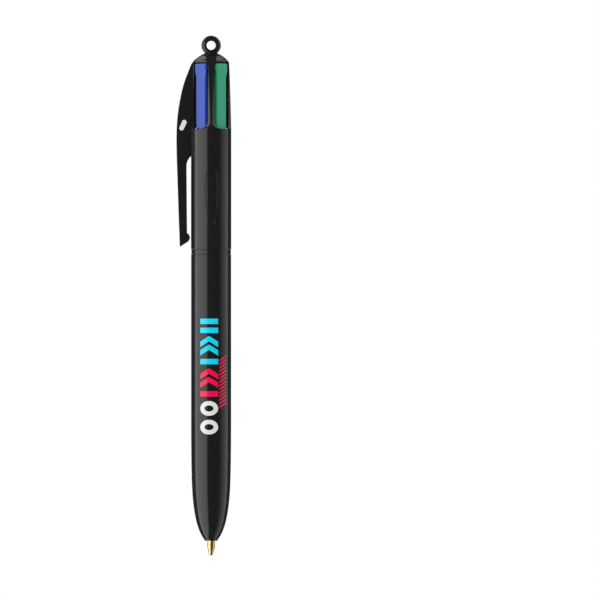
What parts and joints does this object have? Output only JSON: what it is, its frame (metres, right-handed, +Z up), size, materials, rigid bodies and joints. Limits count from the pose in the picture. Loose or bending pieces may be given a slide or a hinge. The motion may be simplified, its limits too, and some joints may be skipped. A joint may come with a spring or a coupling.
{
  "type": "multicolor click pen",
  "caption": "Retractable ball pen with coloured sliders in windows, a domed head with a lanyard ring, a pocket clip and a screw-on tapered barrel.",
  "frame": {"origin": "centre of the lanyard ring's bore", "axes": "+Z up along the pen, ring up and point down; +X along the ring's bore; the pocket clip is on the -Y side"},
  "size_m": [0.0113, 0.0153, 0.1448],
  "materials": {
    "body_plastic": "glossy injection moulded black",
    "guide_plastic": "natural moulded acetal",
    "black_slider": "glossy moulded black",
    "red_slider": "glossy moulded red",
    "blue_slider": "glossy moulded blue",
    "green_slider": "glossy moulded green",
    "spring_steel": "drawn spring wire",
    "tube_plastic": "clear extruded tube",
    "black_ink": "wet ink",
    "red_ink": "wet ink",
    "blue_ink": "wet ink",
    "green_ink": "wet ink",
    "point_brass": "turned, bright",
    "ball_carbide": "polished carbide"
  },
  "bodies": {
    "root": {"upper_body": "body_plastic", "spring_guide": "guide_plastic", "spring_blue": "spring_steel", "spring_green": "spring_steel", "spring_black": "spring_steel", "spring_red": "spring_steel"},
    "joint_ring": {"joint_ring": "body_plastic"},
    "lower_barrel": {"lower_barrel": "body_plastic"},
    "slider_blue": {"slider_blue": "blue_slider", "tube_blue": "tube_plastic", "ink_blue": "blue_ink"},
    "refill_blue": {"tip_blue": "point_brass"},
    "ball_blue": {"ball_blue": "ball_carbide"},
    "slider_green": {"slider_green": "green_slider", "tube_green": "tube_plastic", "ink_green": "green_ink"},
    "refill_green": {"tip_green": "point_brass"},
    "ball_green": {"ball_green": "ball_carbide"},
    "slider_black": {"slider_black": "black_slider", "tube_black": "tube_plastic", "ink_black": "black_ink"},
    "refill_black": {"tip_black": "point_brass"},
    "ball_black": {"ball_black": "ball_carbide"},
    "slider_red": {"slider_red": "red_slider", "tube_red": "tube_plastic", "ink_red": "red_ink"},
    "refill_red": {"tip_red": "point_brass"},
    "ball_red": {"ball_red": "ball_carbide"}
  },
  "joints": [
    {"name": "ring_travel", "type": "slide", "parent": "root", "child": "joint_ring", "axis": [0, 0, -1], "range_m": [0, 0.0045]},
    {"name": "barrel_turn", "type": "hinge", "parent": "joint_ring", "child": "lower_barrel", "pos_m": [0, 0, -0.06], "axis": [0, 0, -1], "range_deg": [0, 1080]},
    {"name": "press_blue", "type": "slide", "parent": "root", "child": "slider_blue", "axis": [0, 0, -1], "range_m": [0, 0.0095], "stiffness_N_per_m": 60, "springref_m": -0.003, "deforming": ["spring_blue", "tube_blue", "ink_blue", "tip_blue", "ball_blue"]},
    {"name": "flex_blue", "type": "hinge", "parent": "slider_blue", "child": "refill_blue", "pos_m": [0.0017, -0.0017, -0.06255], "axis": [0.7071, 0.7071, 0], "range_deg": [0, 2.03]},
    {"name": "roll_blue", "type": "hinge", "parent": "refill_blue", "child": "ball_blue", "pos_m": [0.0017, -0.0017, -0.13205], "axis": [1, 0, 0], "continuous": true},
    {"name": "press_green", "type": "slide", "parent": "root", "child": "slider_green", "axis": [0, 0, -1], "range_m": [0, 0.0095], "stiffness_N_per_m": 60, "springref_m": -0.003, "deforming": ["spring_green", "tube_green", "ink_green", "tip_green", "ball_green"]},
    {"name": "flex_green", "type": "hinge", "parent": "slider_green", "child": "refill_green", "pos_m": [0.0017, 0.0017, -0.06255], "axis": [-0.7071, 0.7071, 0], "range_deg": [0, 2.03]},
    {"name": "roll_green", "type": "hinge", "parent": "refill_green", "child": "ball_green", "pos_m": [0.0017, 0.0017, -0.13205], "axis": [1, 0, 0], "continuous": true},
    {"name": "press_black", "type": "slide", "parent": "root", "child": "slider_black", "axis": [0, 0, -1], "range_m": [-0.0095, 0], "deforming": ["spring_black", "tube_black", "ink_black", "tip_black", "ball_black"]},
    {"name": "flex_black", "type": "hinge", "parent": "slider_black", "child": "refill_black", "pos_m": [-0.0017, 0.0017, -0.07205], "axis": [-0.7071, -0.7071, 0], "range_deg": [-2.03, 0]},
    {"name": "roll_black", "type": "hinge", "parent": "refill_black", "child": "ball_black", "pos_m": [0.00004, -0.00004, -0.14155], "axis": [1, 0, 0], "continuous": true},
    {"name": "press_red", "type": "slide", "parent": "root", "child": "slider_red", "axis": [0, 0, -1], "range_m": [0, 0.0095], "stiffness_N_per_m": 60, "springref_m": -0.003, "deforming": ["spring_red", "tube_red", "ink_red", "tip_red", "ball_red"]},
    {"name": "flex_red", "type": "hinge", "parent": "slider_red", "child": "refill_red", "pos_m": [-0.0017, -0.0017, -0.06255], "axis": [0.7071, -0.7071, 0], "range_deg": [0, 2.03]},
    {"name": "roll_red", "type": "hinge", "parent": "refill_red", "child": "ball_red", "pos_m": [-0.0017, -0.0017, -0.13205], "axis": [1, 0, 0], "continuous": true}
  ],
  "couplings": [
    {"joint": "barrel_turn", "follows": "ring_travel", "rad_per_m": 4188.8},
    {"joint": "flex_blue", "follows": "press_blue", "rad_per_m": 3.7164},
    {"joint": "flex_green", "follows": "press_green", "rad_per_m": 3.7164},
    {"joint": "flex_black", "follows": "press_black", "rad_per_m": 3.7164},
    {"joint": "flex_red", "follows": "press_red", "rad_per_m": 3.7164}
  ]
}
